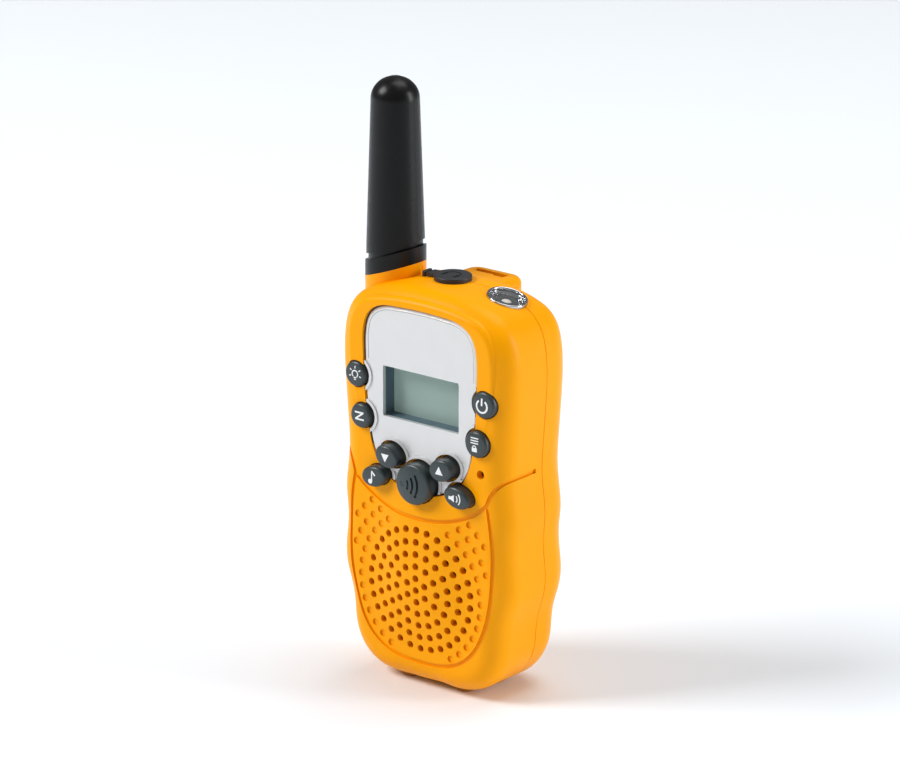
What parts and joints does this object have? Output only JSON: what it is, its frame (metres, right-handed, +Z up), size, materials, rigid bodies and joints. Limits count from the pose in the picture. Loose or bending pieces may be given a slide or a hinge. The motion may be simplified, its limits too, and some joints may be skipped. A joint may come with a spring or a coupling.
{
  "type": "two way radio",
  "caption": "Small hand-held two way radio with a fixed stub aerial, a display panel, sprung keys, a round speaker grille, a top torch and a battery door.",
  "frame": {"origin": "on the table, under the middle of the radio's box", "axes": "+X to the right of someone facing the keys, -Y out of the keys, +Z up along the aerial"},
  "size_m": [0.0526, 0.035, 0.1472],
  "materials": {
    "shell": "orange-yellow satin moulded plastic",
    "panel": "silver-white painted plastic",
    "dark_frame": "dark slate plastic",
    "clear_lens": "clear acrylic",
    "display": "grey-green liquid crystal glass",
    "white_sheet": "white light guide",
    "dark_rubber": "black silicone sheet",
    "steel": "plated steel",
    "board": "green solder mask",
    "chip": "black moulded package",
    "paper": "black pressed paper",
    "magnet": "ferrite and plated steel",
    "cover_rubber": "dark grey moulded rubber",
    "chrome": "vacuum plated chrome",
    "lamp": "clear epoxy lamp",
    "aerial_black": "black satin moulded rubber",
    "screw_steel": "zinc plated steel",
    "foot_rubber": "soft orange-brown rubber",
    "key_grey": "dark slate grey moulded rubber with a satin coat",
    "cell": "printed steel can"
  },
  "bodies": {
    "body": {"front_shell": "shell", "rear_shell": "shell", "display_panel": "panel", "display_frame": "dark_frame", "display_lens": "clear_lens", "display_glass": "display", "display_backlight": "white_sheet", "keypad_mat": "dark_rubber", "dome_switches": "steel", "main_board": "board", "board_chips": "chip", "speaker_frame": "steel", "speaker_cone": "paper", "speaker_magnet": "magnet", "microphone": "steel", "headset_jack": "chip", "jack_cover_anchor": "cover_rubber", "torch_reflector": "chrome", "torch_lens": "clear_lens", "torch_lamp": "lamp", "aerial_collar": "aerial_black", "aerial_sheath": "aerial_black", "aerial_rod": "steel", "contacts_top": "steel", "contacts_bottom": "steel", "housing_screws": "screw_steel", "feet": "foot_rubber", "battery_1": "cell", "battery_2": "cell", "battery_3": "cell", "battery_4": "cell"},
    "lamp_key_body": {"lamp_key": "key_grey"},
    "power_key_body": {"power_key": "key_grey"},
    "scan_key_body": {"scan_key": "key_grey"},
    "menu_key_body": {"menu_key": "key_grey"},
    "down_key_body": {"down_key": "key_grey"},
    "up_key_body": {"up_key": "key_grey"},
    "call_key_body": {"call_key": "key_grey"},
    "monitor_key_body": {"monitor_key": "key_grey"},
    "talk_key_body": {"talk_key": "key_grey"},
    "cover_body": {"jack_cover": "cover_rubber"},
    "door_body": {"battery_door": "shell"}
  },
  "joints": [
    {"name": "lamp_key_press", "type": "slide", "parent": "body", "child": "lamp_key_body", "axis": [0, 1, 0], "range_m": [0, 0.0008], "stiffness_N_per_m": 900},
    {"name": "power_key_press", "type": "slide", "parent": "body", "child": "power_key_body", "axis": [0, 1, 0], "range_m": [0, 0.0008], "stiffness_N_per_m": 900},
    {"name": "scan_key_press", "type": "slide", "parent": "body", "child": "scan_key_body", "axis": [0, 1, 0], "range_m": [0, 0.0008], "stiffness_N_per_m": 900},
    {"name": "menu_key_press", "type": "slide", "parent": "body", "child": "menu_key_body", "axis": [0, 1, 0], "range_m": [0, 0.0008], "stiffness_N_per_m": 900},
    {"name": "down_key_press", "type": "slide", "parent": "body", "child": "down_key_body", "axis": [0, 1, 0], "range_m": [0, 0.0008], "stiffness_N_per_m": 900},
    {"name": "up_key_press", "type": "slide", "parent": "body", "child": "up_key_body", "axis": [0, 1, 0], "range_m": [0, 0.0008], "stiffness_N_per_m": 900},
    {"name": "call_key_press", "type": "slide", "parent": "body", "child": "call_key_body", "axis": [0, 1, 0], "range_m": [0, 0.0008], "stiffness_N_per_m": 900},
    {"name": "monitor_key_press", "type": "slide", "parent": "body", "child": "monitor_key_body", "axis": [0, 1, 0], "range_m": [0, 0.0008], "stiffness_N_per_m": 900},
    {"name": "talk_key_press", "type": "slide", "parent": "body", "child": "talk_key_body", "axis": [0, 1, 0], "range_m": [0, 0.0008], "stiffness_N_per_m": 900},
    {"name": "jack_cover_flap", "type": "hinge", "parent": "body", "child": "cover_body", "pos_m": [-0.0079, 0.00047, 0.10053], "axis": [0, -1, 0], "range_deg": [0, 85], "stiffness_Nm_per_rad": 0.0008},
    {"name": "battery_door_tilt", "type": "hinge", "parent": "body", "child": "door_body", "pos_m": [0, 0.01217, 0.0142], "axis": [-1, 0, 0], "range_deg": [0, 35]}
  ]
}
